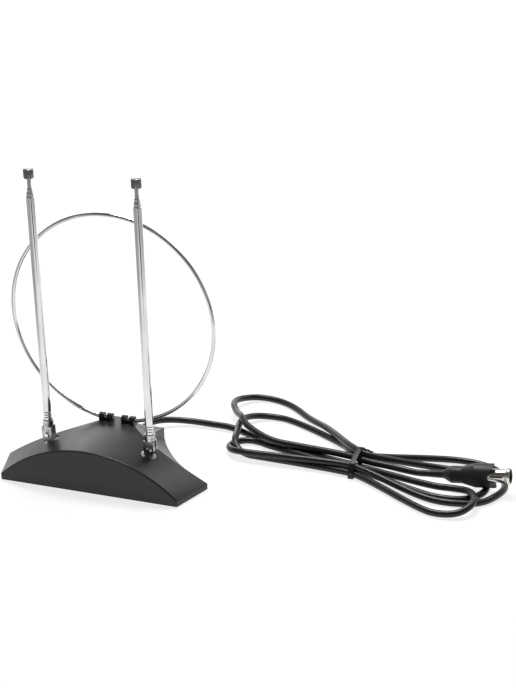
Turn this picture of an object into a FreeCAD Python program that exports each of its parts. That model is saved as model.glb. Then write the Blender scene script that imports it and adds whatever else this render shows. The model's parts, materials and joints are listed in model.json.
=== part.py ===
import FreeCAD, Part
import math
import os
from types import SimpleNamespace

import Sketcher
from FreeCAD import Placement, Rotation, Vector

# Driving sizes of the aerial, in millimetres and degrees.
SIZES = {
    # Base: an arched front that widens to splayed wing ends, then sweeps in to a narrow tail.
    "base_depth": 75.0,
    "front_width": 114.6,
    "wing_width": 131.0,
    "wing_depth": 26.7,
    "tail_width": 33.6,
    "tail_height": 11.5,
    "tail_rise": 4.5,
    "skirt_height": 4.2,
    "roof_height": 27.2,
    "flank_radius": 121.0,
    "flank_taper": 0.97,
    "plateau_depth": 51.0,
    "back_slope": 45.0,
    "wall": 2.0,
    "edge_round": 0.7,
    "foot_gap": 0.6,
    # Bottom cover, its screws, pads and the weight that lies on it.
    "cover_thick": 2.0,
    "cover_gap": 0.2,
    "post_radius": 3.5,
    "wing_post_x": 44.0,
    "wing_post_y": -14.5,
    "rear_post_x": 21.0,
    "rear_post_y": 14.0,
    "screw_radius": 1.3,
    "screw_length": 8.0,
    "screw_head_radius": 2.5,
    "screw_head_height": 1.2,
    "screw_fit": 0.05,
    "pad_radius": 4.0,
    "pad_thick": 1.4,
    "wing_pad_x": 50.0,
    "wing_pad_inset": 12.5,
    "rear_pad_x": 9.0,
    "rear_pad_inset": 8.5,
    "weight_width": 56.0,
    "weight_depth": 22.0,
    "weight_thick": 3.0,
    "weight_y": -19.0,
    "peg_radius": 1.5,
    "peg_spacing": 40.0,
    "peg_gap": 0.15,
    # Matching board with its ferrite core.
    "board_width": 26.0,
    "board_depth": 16.0,
    "board_thick": 1.2,
    "board_y": 4.0,
    "board_lift": 6.4,
    "board_post_radius": 3.0,
    "board_peg_spacing": 20.0,
    "core_radius": 4.5,
    "core_bore": 2.2,
    "core_height": 4.0,
    # Swivel sockets, feet and pivots.
    "pivot_x": 33.3,
    "pivot_y": -18.0,
    "pivot_z": 25.6,
    "socket_lean": 18.5,
    "recess_radius": 5.0,
    "recess_floor": 6.5,
    "boss_radius": 6.5,
    "boss_length": 6.5,
    "swivel_gap": 0.15,
    "disc_thick": 1.8,
    "shank_radius": 2.5,
    "washer_radius": 4.0,
    "washer_thick": 0.8,
    "tongue_thick": 2.2,
    "tongue_width": 5.6,
    "ear_width": 6.4,
    "ear_thick": 1.5,
    "ear_gap": 0.15,
    "slot_height": 5.5,
    "clevis_height": 9.5,
    "plug_in_length": 5.0,
    "rivet_radius": 1.0,
    "rivet_head_radius": 1.8,
    "rivet_crown_radius": 1.1,
    "rivet_head_height": 0.7,
    # Telescopic rods.
    "rod_radius": 2.5,
    "rod_wall": 0.3,
    "rod_fit": 0.12,
    "rod_top": 148.5,
    "rod_step": 2.4,
    "rod_inner_start": 16.0,
    "rod_crimp": 0.25,
    "rod_groove_start": 2.0,
    "rod_groove_step": 1.6,
    "rod_groove_width": 0.8,
    "rod_groove_depth": 0.15,
    "tip_neck": 4.5,
    "tip_radius": 3.0,
    "tip_height": 7.0,
    "tip_bore_depth": 4.0,
    "tip_round": 1.2,
    # Loop and the lugs that carry its two ends.
    "loop_radius": 65.1,
    "wire_radius": 1.25,
    "loop_y": 8.0,
    "loop_z": 29.0,
    "loop_drop": 1.3,
    "loop_bend": 10.0,
    "loop_split": 5.0,
    "lug_inner_x": 4.8,
    "lug_outer_x": 10.0,
    "lug_width": 3.0,
    "lug_ring": 1.0,
    "lug_gap": 0.15,
    "lug_depth": 4.0,
    "contact_x": 7.4,
    "contact_width": 2.2,
    "contact_thick": 0.5,
    "contact_foot": 3.5,
    "contact_gap": 0.1,
    "contact_slot_gap": 0.3,
    # Cable, its relief and plug.
    "cable_radius": 1.75,
    "relief_z": 6.1,
    "relief_shank": 2.5,
    "relief_flange": 3.2,
    "relief_tip": 2.4,
    "relief_length": 8.0,
    "relief_inner": 1.5,
    "relief_fit": 0.1,
    "hank_bottom": 0.9,
    "hank_thick": 8.6,
    "tie_thick": 0.8,
    "tie_width": 5.0,
    "plug_x": 187.8,
    "plug_y": 37.3,
    "plug_z": 6.8,
    "plug_turn": 0.9,
    "plug_rise": 6.3,
    "plug_lead": 10.0,
    "plug_neck_radius": 2.1,
    "plug_neck_end_radius": 2.5,
    "plug_neck_length": 8.0,
    "plug_shoulder_length": 4.6,
    "plug_grip_radius": 5.1,
    "plug_grip_length": 6.4,
    "plug_flare_length": 8.0,
    "plug_flange_radius": 7.2,
    "plug_flange_length": 11.7,
    "plug_thick": 9.6,
    "plug_notch_depth": 4.1,
    "sleeve_radius": 3.75,
    "sleeve_rim_radius": 4.75,
    "sleeve_wall": 0.4,
    "sleeve_length": 13.0,
    "sleeve_rim_length": 2.4,
    "sleeve_seat": 6.0,
    "sleeve_slot_width": 0.9,
    "sleeve_slot_margin": 1.2,
    "insulator_length": 7.0,
    "pin_radius": 1.18,
    "pin_length": 13.0,
    "pin_nose": 0.8,
}


class Size:
    """A number together with the expression that binds a property to the sheet."""

    def __init__(self, value, text):
        self.value = value
        self.text = text

    def __add__(self, other):
        other = as_size(other)
        return Size(self.value + other.value, f"({self.text} + {other.text})")

    def __sub__(self, other):
        other = as_size(other)
        return Size(self.value - other.value, f"({self.text} - {other.text})")

    def __mul__(self, other):
        other = as_size(other)
        return Size(self.value * other.value, f"({self.text} * {other.text})")

    def __truediv__(self, other):
        other = as_size(other)
        return Size(self.value / other.value, f"({self.text} / {other.text})")

    def __neg__(self):
        return Size(-self.value, f"(0 - {self.text})")


def as_size(number):
    if isinstance(number, Size):
        return number
    return Size(float(number), f"({float(number)})")


def root(size):
    return Size(math.sqrt(size.value), f"sqrt({size.text})")


def sine(angle):
    return Size(math.sin(math.radians(angle.value)), f"sin({angle.text} * 1deg)")


def cosine(angle):
    return Size(math.cos(math.radians(angle.value)), f"cos({angle.text} * 1deg)")


ZERO = as_size(0)
FULL_TURN = 360
HALF_CIRCLE = "half circle"
ROUND_STEPS = 3
ROD_GROOVES = 3
ARC_SHARE = 0.45
MARGIN = 2.0
SIDES = {"left": -1, "right": 1}

doc = FreeCAD.newDocument("aerial")
sheet = doc.addObject("Spreadsheet::Sheet", "sizes")
for row, (size_name, size_value) in enumerate(SIZES.items(), start=1):
    sheet.set(f"A{row}", size_name)
    sheet.set(f"B{row}", str(size_value))
    sheet.setAlias(f"B{row}", size_name)
doc.recompute()
at = SimpleNamespace(**{key: Size(value, f"sizes.{key}") for key, value in SIZES.items()})
pieces = {}


def keep(label, piece):
    """Name a finished piece; the label becomes its file name."""
    piece.Label = label
    pieces[label] = piece
    return piece


def place(piece, x=ZERO, y=ZERO, z=ZERO, axis=None, angle=None):
    """Bind a piece's position, and its turn about an axis, to the sheet."""
    if axis is not None:
        piece.Placement = Placement(Vector(), Rotation(Vector(*axis), as_size(angle).value or 1))
        piece.setExpression("Placement.Rotation.Angle", as_size(angle).text)
    for name, size in zip("xyz", (x, y, z)):
        piece.setExpression(f"Placement.Base.{name}", as_size(size).text)
    return piece


def primitive(kind, name, **sizes):
    """A Part primitive with its sizes bound to the sheet."""
    piece = doc.addObject(f"Part::{kind}", name)
    for key, size in sizes.items():
        piece.setExpression(key, as_size(size).text)
    return piece


def box(name, width, depth, height, x, y, z):
    """A box centred on x and y that stands on z."""
    piece = primitive("Box", name, Length=width, Width=depth, Height=height)
    return place(piece, as_size(x) - width / 2, as_size(y) - depth / 2, z)


def cylinder(name, radius, height, x, y, z, axis=None, angle=None):
    return place(primitive("Cylinder", name, Radius=radius, Height=height), x, y, z, axis, angle)


def fuse(name, shapes):
    piece = doc.addObject("Part::MultiFuse", name)
    piece.Shapes = shapes
    return piece


def common(name, base, tool):
    piece = doc.addObject("Part::Common", name)
    piece.Base = base
    piece.Tool = tool
    return piece


def cut(name, base, tool):
    piece = doc.addObject("Part::Cut", name)
    piece.Base = base
    piece.Tool = tool
    return piece


def new_body(name):
    return doc.addObject("PartDesign::Body", name)


def new_sketch(body, role, offset=None):
    """A sketch on one of the body's own origin planes, moved by an offset in the plane's axes."""
    sketch = body.newObject("Sketcher::SketchObject", f"{body.Name}_sketch")
    plane = next(item for item in body.Origin.OriginFeatures if item.Role == role)
    sketch.AttachmentSupport = [(plane, "")]
    sketch.MapMode = "FlatFace"
    for name, size in zip("xyz", offset or ()):
        sketch.setExpression(f"AttachmentOffset.Base.{name}", as_size(size).text)
    return sketch


def edge_between(start, end, bend):
    """A straight edge, or an arc that bulges to the right of its way: short, long or half a circle."""
    if bend is None:
        return Part.LineSegment(start, end)
    chord = end - start
    half = chord.Length / 2
    rise = half
    if bend != HALF_CIRCLE:
        radius, long_way = bend
        rest = math.sqrt(radius.value**2 - half**2)
        rise = radius.value + rest if long_way else radius.value - rest
    across = Vector(chord.y, -chord.x, 0).normalize()
    return Part.Arc(start, (start + end) * 0.5 + across * rise, end)


def draw(sketch, corners, bends=None, closed=True):
    """Draw an outline through corners, with some edges bent, and bind every corner and radius."""
    bends = bends or {}
    spots = [Vector(as_size(x).value, as_size(y).value, 0) for x, y in corners]
    last = len(spots) if closed else len(spots) - 1
    ends = []
    for number in range(last):
        start, end = spots[number], spots[(number + 1) % len(spots)]
        sketch.addGeometry(edge_between(start, end, bends.get(number)), False)
        drawn = sketch.Geometry[number]
        forward = drawn.StartPoint.distanceToPoint(start) < drawn.EndPoint.distanceToPoint(start)
        ends.append((1, 2) if forward else (2, 1))
    for number in range(last if closed else last - 1):
        follower = (number + 1) % last
        joint = Sketcher.Constraint("Coincident", number, ends[number][1], follower, ends[follower][0])
        sketch.addConstraint(joint)
    for number, corner in enumerate(corners):
        edge, end = (number, ends[number][0]) if number < last else (last - 1, ends[last - 1][1])
        for kind, size in zip(("DistanceX", "DistanceY"), corner):
            bind(sketch, Sketcher.Constraint(kind, -1, 1, edge, end, as_size(size).value), size)
    for number, bend in bends.items():
        if bend == HALF_CIRCLE:
            level = corners[number][1]
            bind(sketch, Sketcher.Constraint("DistanceY", -1, 1, number, 3, as_size(level).value), level)
        else:
            bind(sketch, Sketcher.Constraint("Radius", number, bend[0].value), bend[0])
    return sketch


def bind(sketch, constraint, size):
    index = sketch.addConstraint(constraint)
    sketch.setExpression(f"Constraints[{index}]", as_size(size).text)


def draw_circle(sketch, radius, x=ZERO, y=ZERO):
    centre = Vector(as_size(x).value, as_size(y).value, 0)
    sketch.addGeometry(Part.Circle(centre, Vector(0, 0, 1), radius.value), False)
    bind(sketch, Sketcher.Constraint("Radius", 0, radius.value), radius)
    bind(sketch, Sketcher.Constraint("DistanceX", -1, 1, 0, 3, centre.x), x)
    bind(sketch, Sketcher.Constraint("DistanceY", -1, 1, 0, 3, centre.y), y)
    return sketch


def pad(body, sketch, length):
    """Add the sketch's outline, spread evenly to both sides of its plane."""
    feature = body.newObject("PartDesign::Pad", f"{body.Name}_pad")
    feature.Profile = sketch
    feature.SideType = "Symmetric"
    feature.setExpression("Length", as_size(length).text)


def pocket(body, sketch):
    """Cut the sketch's outline right through, to both sides of its plane."""
    feature = body.newObject("PartDesign::Pocket", f"{body.Name}_pocket")
    feature.Profile = sketch
    feature.Type = "ThroughAll"
    feature.SideType = "Symmetric"


def revolve(body, sketch, kind="Revolution"):
    feature = body.newObject(f"PartDesign::{kind}", f"{body.Name}_turn")
    feature.Profile = sketch
    feature.ReferenceAxis = (sketch, ["V_Axis"])
    feature.Angle = FULL_TURN


def turned(name, corners, bends=None):
    """A turned piece: an outline of (radius, height) corners revolved about the body's Z axis."""
    body = new_body(name)
    revolve(body, draw(new_sketch(body, "XZ_Plane"), corners, bends))
    return body


# Places in the base that several pieces share.
half_depth = at.base_depth / 2
splay = (at.wing_width - at.front_width) / (at.wing_depth * 2)
arch_rise = at.roof_height - at.skirt_height
cover_top = at.foot_gap + at.cover_thick
board_bottom = cover_top + at.board_lift


def flank_axis():
    """Centre in plan of the arc from a wing's rear corner to the tail's corner, on the right."""
    wing_x, wing_y = at.wing_width / 2, at.wing_depth - half_depth
    tail_x, tail_y = at.tail_width / 2, half_depth
    run_x, run_y = wing_x - tail_x, tail_y - wing_y
    chord = root(run_x * run_x + run_y * run_y)
    reach = root(at.flank_radius * at.flank_radius - chord * chord / 4) / chord
    return (wing_x + tail_x) / 2 + run_y * reach, (wing_y + tail_y) / 2 + run_x * reach


def arch_section(body, inset, y, bottom):
    """Upright section of the roof at y: straight skirts under one arc, drawn in by the inset."""
    outer_half = at.front_width / 2 + splay * (y + half_depth)
    outer_radius = (outer_half * outer_half + arch_rise * arch_rise) / (arch_rise * 2)
    half = outer_half - inset
    radius = outer_radius - inset
    shoulder = at.roof_height - outer_radius + root(radius * radius - half * half)
    corners = [(-half, bottom), (half, bottom), (half, shoulder), (-half, shoulder)]
    sketch = new_sketch(body, "XZ_Plane", (ZERO, ZERO, -y))
    return draw(sketch, corners, {2: (radius, False)})


def base_form(name, inset, bottom, rounded=False):
    """The base's outside, drawn in by the inset: arch, conical flanks, back slope and tail block."""
    body = new_body(name)
    front, back = inset - half_depth, half_depth - inset
    rounding = at.edge_round if rounded else ZERO
    steps = ROUND_STEPS if rounded else 0
    sections = [arch_section(body, inset + rounding, front, bottom)]
    for step in range(1, steps + 1):
        angle = math.radians(90 * step / steps)
        drawn_in = inset + rounding * (1 - math.sin(angle))
        sections.append(arch_section(body, drawn_in, front + rounding * (1 - math.cos(angle)), bottom))
    sections.append(arch_section(body, inset, back, bottom))
    loft = body.newObject("PartDesign::AdditiveLoft", f"{name}_arch")
    loft.Profile = sections[0]
    loft.Sections = sections[1:]
    loft.Ruled = True
    axis_x, axis_y = flank_axis()
    top = at.roof_height + MARGIN
    radius = at.flank_radius + inset
    outline = [
        (ZERO, bottom - MARGIN),
        (radius, bottom - MARGIN),
        (radius, at.skirt_height),
        (radius + at.flank_taper * (top - at.skirt_height), top),
        (ZERO, top),
    ]
    for side in SIDES.values():
        sketch = new_sketch(body, "XZ_Plane", (axis_x * side, ZERO, -axis_y))
        revolve(body, draw(sketch, outline), "Groove")
    ridge = at.plateau_depth - half_depth - inset
    past = half_depth + MARGIN
    fall = (past - ridge) * sine(at.back_slope) / cosine(at.back_slope)
    slope = [(ridge, at.roof_height), (past, at.roof_height - fall), (past, top), (ridge, top)]
    pocket(body, draw(new_sketch(body, "YZ_Plane"), slope))
    tail_top = at.tail_height - inset
    tail = [(ridge, bottom), (back, bottom), (back, tail_top), (ridge, tail_top + at.tail_rise)]
    pad(body, draw(new_sketch(body, "YZ_Plane"), tail), at.tail_width - inset * 2)
    return body


def on_swivel(side, along):
    """A spot on a swivel axis, measured along it from the pivot."""
    x = (at.pivot_x + along * sine(at.socket_lean)) * side
    return x, at.pivot_y, at.pivot_z + along * cosine(at.socket_lean)


def swivel_cylinder(name, side, radius, low, high):
    spot = on_swivel(side, low)
    return cylinder(name, radius, high - low, *spot, (0, 1, 0), at.socket_lean * side)


def post_spots():
    spots = ((at.wing_post_x, at.wing_post_y), (at.rear_post_x, at.rear_post_y))
    return [(x * side, y) for x, y in spots for side in SIDES.values()]


def pad_spots():
    front_y, rear_y = at.wing_pad_inset - half_depth, half_depth - at.rear_pad_inset
    spots = {"front": (at.wing_pad_x, front_y), "rear": (at.rear_pad_x, rear_y)}
    return {f"{end}_{name}": (x * side, y) for end, (x, y) in spots.items() for name, side in SIDES.items()}


def make_housing():
    """Moulded shell with screw posts, swivel bosses and the four lugs for the loop."""
    outside = base_form("housing_outside", ZERO, at.foot_gap, rounded=True)
    inside = base_form("housing_inside", at.wall, at.foot_gap - MARGIN)
    midwall = base_form("housing_midwall", at.wall / 2, cover_top)
    posts = [cylinder("post", at.post_radius, at.roof_height, x, y, ZERO) for x, y in post_spots()]
    floor = -at.recess_floor
    for side in SIDES.values():
        posts.append(swivel_cylinder("boss", side, at.boss_radius, floor - at.boss_length, ZERO))
    inner = common("housing_inner", fuse("housing_posts", posts), midwall)
    lug_radius = at.wire_radius + at.lug_gap + at.lug_ring
    lugs = []
    for x in (at.lug_inner_x, at.lug_outer_x):
        for side in SIDES.values():
            low = at.loop_z - at.lug_depth
            lugs.append(box("lug", at.lug_width, lug_radius * 2, at.lug_depth, x * side, at.loop_y, low))
            end = x * side - at.lug_width / 2
            lugs.append(cylinder("lug_head", lug_radius, at.lug_width, end, at.loop_y, at.loop_z, (0, 1, 0), 90))
    solid = fuse("housing_solid", [cut("housing_shell", outside, inside), inner] + lugs)
    bore = at.wire_radius + at.lug_gap
    reach = at.lug_outer_x + at.lug_width
    holes = [cylinder("lug_bore", bore, reach * 2, -reach, at.loop_y, at.loop_z, (0, 1, 0), 90)]
    hole = at.relief_shank + at.relief_fit
    rear = half_depth - at.wall - MARGIN
    holes.append(cylinder("cable_hole", hole, at.wall + MARGIN * 2, ZERO, rear, at.relief_z, (1, 0, 0), -90))
    for x, y in post_spots():
        pilot = at.screw_radius + at.screw_fit
        holes.append(cylinder("pilot", pilot, at.screw_length, x, y, cover_top - MARGIN))
    for side in SIDES.values():
        holes.append(swivel_cylinder("recess", side, at.recess_radius, floor, ZERO))
        bore = at.shank_radius + at.swivel_gap
        holes.append(swivel_cylinder("bore", side, bore, floor - at.boss_length - MARGIN, ZERO))
        slot_width = at.contact_width + at.contact_slot_gap * 2
        slot_depth = at.contact_thick + at.contact_slot_gap * 2
        slot_low = at.roof_height - at.wall * 2
        slot = box("slot", slot_width, slot_depth, at.wall * 3, at.contact_x * side, at.loop_y, slot_low)
        holes.append(slot)
    keep("housing", cut("housing", solid, fuse("housing_holes", holes)))


def make_cover():
    """Bottom plate that drops inside the skirt, with pegs for the weight and the board."""
    outline = base_form("cover_outline", at.wall + at.cover_gap, at.foot_gap)
    slab = box("cover_slab", at.wing_width * 2, at.base_depth * 2, at.cover_thick, ZERO, ZERO, at.foot_gap)
    adds = [common("cover_plate", outline, slab)]
    cuts = []
    for side in SIDES.values():
        x = at.peg_spacing * side / 2
        adds.append(cylinder("weight_peg", at.peg_radius, at.weight_thick, x, at.weight_y, cover_top))
        x = at.board_peg_spacing * side / 2
        adds.append(cylinder("board_post", at.board_post_radius, at.board_lift, x, at.board_y, cover_top))
        height = at.board_lift + at.board_thick
        adds.append(cylinder("board_peg", at.peg_radius, height, x, at.board_y, cover_top))
    for x, y in post_spots():
        sink = at.screw_head_height
        cuts.append(cylinder("head_sink", at.screw_head_radius + at.cover_gap, sink, x, y, at.foot_gap))
        shank = at.screw_radius + at.cover_gap
        cuts.append(cylinder("screw_hole", shank, at.cover_thick, x, y, at.foot_gap))
    for x, y in pad_spots().values():
        depth = at.pad_thick - at.foot_gap
        cuts.append(cylinder("pad_sink", at.pad_radius + at.cover_gap, depth, x, y, at.foot_gap))
    solid = fuse("cover_solid", adds)
    keep("bottom_cover", cut("bottom_cover", solid, fuse("cover_holes", cuts)))


def make_cover_screws():
    """Four pan-head screws, flush in the cover, that bite into the housing's posts."""
    screws = []
    head_top = at.foot_gap + at.screw_head_height
    shank_end = cover_top - MARGIN + at.screw_length
    corners = [
        (ZERO, at.foot_gap),
        (at.screw_head_radius, at.foot_gap),
        (at.screw_head_radius, head_top),
        (at.screw_radius, head_top),
        (at.screw_radius, shank_end - at.screw_radius),
        (ZERO, shank_end),
    ]
    for x, y in post_spots():
        screws.append(place(turned("cover_screw", corners), x, y))
    group = doc.addObject("Part::Compound", "cover_screws")
    group.Links = screws
    keep("cover_screws", group)


def make_pads():
    for name, (x, y) in pad_spots().items():
        keep(f"foot_pad_{name}", cylinder("foot_pad", at.pad_radius, at.pad_thick, x, y, ZERO))


def make_weight():
    plate = box("plate", at.weight_width, at.weight_depth, at.weight_thick, ZERO, at.weight_y, cover_top)
    holes = []
    for side in SIDES.values():
        x = at.peg_spacing * side / 2
        radius = at.peg_radius + at.peg_gap
        holes.append(cylinder("peg_hole", radius, at.weight_thick, x, at.weight_y, cover_top))
    keep("ballast_plate", cut("ballast_plate", plate, fuse("weight_holes", holes)))


def make_board():
    """Matching board on its two posts, with a ferrite core and the two loop contacts."""
    plate = box("board", at.board_width, at.board_depth, at.board_thick, ZERO, at.board_y, board_bottom)
    holes = []
    for side in SIDES.values():
        x = at.board_peg_spacing * side / 2
        radius = at.peg_radius + at.peg_gap
        holes.append(cylinder("board_hole", radius, at.board_thick, x, at.board_y, board_bottom))
    keep("matching_board", cut("matching_board", plate, fuse("board_holes", holes)))
    board_top = board_bottom + at.board_thick
    low, high = board_top, board_top + at.core_height
    ring = [(at.core_bore, low), (at.core_radius, low), (at.core_radius, high), (at.core_bore, high)]
    keep("balun_core", place(turned("balun_core", ring), ZERO, at.board_y))
    tip = at.loop_z - at.wire_radius - at.contact_gap
    for name, side in SIDES.items():
        body = new_body("loop_contact")
        back = at.loop_y + at.contact_thick / 2
        front = at.loop_y - at.contact_thick / 2
        strip = [
            (back - at.contact_foot, board_top),
            (back, board_top),
            (back, tip),
            (front, tip),
            (front, board_top + at.contact_thick),
            (back - at.contact_foot, board_top + at.contact_thick),
        ]
        pad(body, draw(new_sketch(body, "YZ_Plane"), strip), at.contact_width)
        keep(f"loop_contact_{name}", place(body, at.contact_x * side))


def place_on_swivel(body, side, along=ZERO):
    return place(body, *on_swivel(side, along), (0, 1, 0), at.socket_lean * side)


def make_swivel(name, side):
    """Swivel foot in its socket, held from below by a washer and a screw."""
    body = new_body("swivel_foot")
    seat = at.swivel_gap - at.recess_floor
    disc_top = seat + at.disc_thick
    disc_radius = at.recess_radius - at.swivel_gap * 2
    shank_end = -at.recess_floor - at.boss_length - at.swivel_gap
    tap = at.screw_radius + at.screw_fit
    tap_end = shank_end + at.boss_length
    profile = [
        (tap, shank_end),
        (at.shank_radius, shank_end),
        (at.shank_radius, seat),
        (disc_radius, seat),
        (disc_radius, disc_top),
        (ZERO, disc_top),
        (ZERO, tap_end),
        (tap, tap_end),
    ]
    revolve(body, draw(new_sketch(body, "XZ_Plane"), profile))
    half = at.tongue_width / 2
    tongue = [(-half, disc_top), (half, disc_top), (half, ZERO), (-half, ZERO)]
    pad(body, draw(new_sketch(body, "XZ_Plane"), tongue, {2: HALF_CIRCLE}), at.tongue_thick)
    pocket(body, draw_circle(new_sketch(body, "XZ_Plane"), at.rivet_radius + at.swivel_gap))
    keep(f"swivel_foot_{name}", place_on_swivel(body, side))
    washer_end = shank_end - at.washer_thick
    hole = at.screw_radius + at.screw_fit
    ring = [(hole, washer_end), (at.washer_radius, washer_end), (at.washer_radius, shank_end), (hole, shank_end)]
    keep(f"swivel_washer_{name}", place_on_swivel(turned("swivel_washer", ring), side))
    head_end = washer_end - at.screw_head_height
    screw = [
        (ZERO, head_end),
        (at.screw_head_radius, head_end),
        (at.screw_head_radius, washer_end),
        (at.screw_radius, washer_end),
        (at.screw_radius, tap_end - at.screw_fit * 2),
        (ZERO, tap_end - at.screw_fit * 2),
    ]
    keep(f"swivel_screw_{name}", place_on_swivel(turned("swivel_screw", screw), side))


def at_pivot(body, side, axis=None, angle=None):
    return place(body, at.pivot_x * side, at.pivot_y, at.pivot_z, axis, angle)


def make_clevis(name, side):
    """Fork at the foot of a rod, riveted through the tongue of the swivel foot."""
    body = new_body("clevis")
    half = at.ear_width / 2
    inner = at.tongue_thick / 2 + at.ear_gap
    thick = (inner + at.ear_thick) * 2
    plug = at.rod_radius - at.rod_wall - at.screw_fit
    plug_end = at.clevis_height + at.plug_in_length
    neck = [
        (ZERO, ZERO),
        (half, ZERO),
        (half, at.clevis_height),
        (plug, at.clevis_height),
        (plug, plug_end),
        (ZERO, plug_end),
    ]
    revolve(body, draw(new_sketch(body, "XZ_Plane"), neck))
    ears = [(half, ZERO), (half, at.slot_height), (-half, at.slot_height), (-half, ZERO)]
    pad(body, draw(new_sketch(body, "XZ_Plane"), ears, {3: HALF_CIRCLE}), thick)
    low = -half - MARGIN
    for side_of_fork in SIDES.values():
        flat, past = (inner + at.ear_thick) * side_of_fork, (half + MARGIN) * side_of_fork
        flank = [(flat, low), (past, low), (past, at.slot_height), (flat, at.slot_height)]
        pocket(body, draw(new_sketch(body, "YZ_Plane"), flank))
    slot = [(-inner, low), (inner, low), (inner, at.slot_height), (-inner, at.slot_height)]
    pocket(body, draw(new_sketch(body, "YZ_Plane"), slot))
    pocket(body, draw_circle(new_sketch(body, "XZ_Plane"), at.rivet_radius + at.screw_fit))
    keep(f"clevis_{name}", at_pivot(body, side))
    face, head = thick / 2, thick / 2 + at.rivet_head_height
    rivet = [
        (ZERO, -head),
        (at.rivet_crown_radius, -head),
        (at.rivet_head_radius, -face),
        (at.rivet_radius, -face),
        (at.rivet_radius, face),
        (at.rivet_head_radius, face),
        (at.rivet_crown_radius, head),
        (ZERO, head),
    ]
    keep(f"pivot_rivet_{name}", at_pivot(turned("pivot_rivet", rivet), side, (1, 0, 0), 90))


def make_rod(name, side):
    """Four telescopic sections, pushed in, and the cap on the innermost."""
    radius, low, high = at.rod_radius, at.clevis_height, at.rod_top
    for number in (1, 2, 3):
        bore = radius - at.rod_wall
        tube = [(bore, low), (radius, low)]
        for groove in range(ROD_GROOVES if number == 1 else 0):
            start = low + at.rod_groove_start + at.rod_groove_step * groove
            half = at.rod_groove_width / 2
            tube += [(radius, start - half), (radius - at.rod_groove_depth, start), (radius, start + half)]
        tube += [(radius, high - at.rod_crimp), (radius - at.rod_crimp, high), (bore, high)]
        keep(f"rod_section_{number}_{name}", at_pivot(turned("rod_section", tube), side))
        radius = bore - at.rod_fit
        low, high = at.rod_inner_start, high + at.rod_step
    cap_low = high - at.rod_step + at.tip_neck
    cap_high = cap_low + at.tip_height
    rod_end = cap_low + at.tip_bore_depth
    rod = [(ZERO, low), (radius, low), (radius, rod_end), (ZERO, rod_end)]
    keep(f"rod_section_4_{name}", at_pivot(turned("rod_section", rod), side))
    bore = radius + at.screw_fit
    cap = [
        (bore, cap_low),
        (at.tip_radius - at.rod_crimp, cap_low),
        (at.tip_radius, cap_low + at.rod_crimp),
        (at.tip_radius, cap_high - at.tip_round),
        (at.tip_radius - at.tip_round, cap_high),
        (ZERO, cap_high),
        (ZERO, rod_end),
        (bore, rod_end),
    ]
    bends = {3: (at.tip_round, False)}
    keep(f"tip_cap_{name}", at_pivot(turned("tip_cap", cap, bends), side))


def make_loop():
    """Round wire loop whose two ends lie in line through the lugs, so that it can tip."""
    body = new_body("loop_wire")
    ring, bend = at.loop_radius, at.loop_bend
    span = ring - bend
    centre_z = ring - at.loop_drop
    bend_x = root(span * span - (span - at.loop_drop) * (span - at.loop_drop))
    join_x = bend_x * ring / span
    join_z = centre_z + (bend - centre_z) * ring / span
    end_x = at.loop_split / 2
    path = [(end_x, ZERO), (bend_x, ZERO), (join_x, join_z)]
    path += [(-x, z) for x, z in reversed(path)]
    bends = {1: (bend, False), 2: (ring, True), 3: (bend, False)}
    spine = draw(new_sketch(body, "XZ_Plane"), path, bends, closed=False)
    profile = draw_circle(new_sketch(body, "YZ_Plane", (ZERO, ZERO, end_x)), at.wire_radius)
    doc.recompute()
    pipe = body.newObject("PartDesign::AdditivePipe", "loop_pipe")
    pipe.Profile = profile
    pipe.Spine = spine
    keep("loop_wire", place(body, ZERO, at.loop_y, at.loop_z))


def make_relief():
    """Moulded relief that holds the cable in the tail's rear wall."""
    outer, inner = at.relief_length, at.wall + at.relief_inner
    flange_end = at.relief_inner - inner
    profile = [
        (ZERO, -inner),
        (at.relief_flange, -inner),
        (at.relief_flange, flange_end - at.relief_fit),
        (at.relief_shank, flange_end - at.relief_fit),
        (at.relief_shank, at.relief_fit),
        (at.relief_flange, at.relief_fit),
        (at.relief_tip, outer),
        (ZERO, outer),
    ]
    body = turned("strain_relief", profile)
    keep("strain_relief", place(body, ZERO, half_depth, at.relief_z, (1, 0, 0), -90))


def cable_path(points):
    """Straight runs joined by tangent arcs, each as large as its two runs allow."""
    edges, radii = [], []
    start = points[0]
    for before, corner, after in zip(points, points[1:], points[2:]):
        back, ahead = (before - corner), (after - corner)
        reach = ARC_SHARE * min(back.Length, ahead.Length)
        half_turn = (math.pi - back.getAngle(ahead)) / 2
        radius = reach / math.tan(half_turn)
        radii.append(round(radius, 1))
        enter = corner + back.normalize() * reach
        leave = corner + ahead.normalize() * reach
        inward = (back + ahead).normalize()
        middle = corner + inward * (radius / math.cos(half_turn) - radius)
        edges.append(Part.LineSegment(start, enter).toShape())
        edges.append(Part.Arc(enter, middle, leave).toShape())
        start = leave
    edges.append(Part.LineSegment(start, points[-1]).toShape())
    return Part.Wire(edges), radii


# Places along the cable's free stretch, from the relief to the hank, chosen from its lie on the table.
LEAD_ROUTE = [
    (0.0, 45.5, 6.1),
    (0.0, 50.4, 6.1),
    (3.1, 57.6, 5.4),
    (8.8, 62.8, 4.5),
    (16.8, 66.5, 3.6),
    (26.8, 68.5, 2.9),
    (37.8, 68.2, 2.8),
    (48.0, 68.2, 2.8),
]


def make_lead():
    """The cable's free stretch from the relief to the tied hank."""
    points = [Vector(*spot) for spot in LEAD_ROUTE]
    points[0].y = SIZES["base_depth"] / 2 + SIZES["relief_length"]
    points[0].z = SIZES["relief_z"]
    path, radii = cable_path(points)
    radius = SIZES["cable_radius"]
    ring = Part.Wire(Part.makeCircle(radius, points[0], points[1] - points[0]))
    tube = path.makePipeShell([ring], True, True)
    print("cable radii", radii, "length", round(path.Length, 1))
    print("cable volume against section times length", tube.Volume / (math.pi * radius**2 * path.Length))
    piece = doc.addObject("Part::Feature", "cable_lead")
    piece.Shape = tube
    keep("cable_lead", piece)


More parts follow.
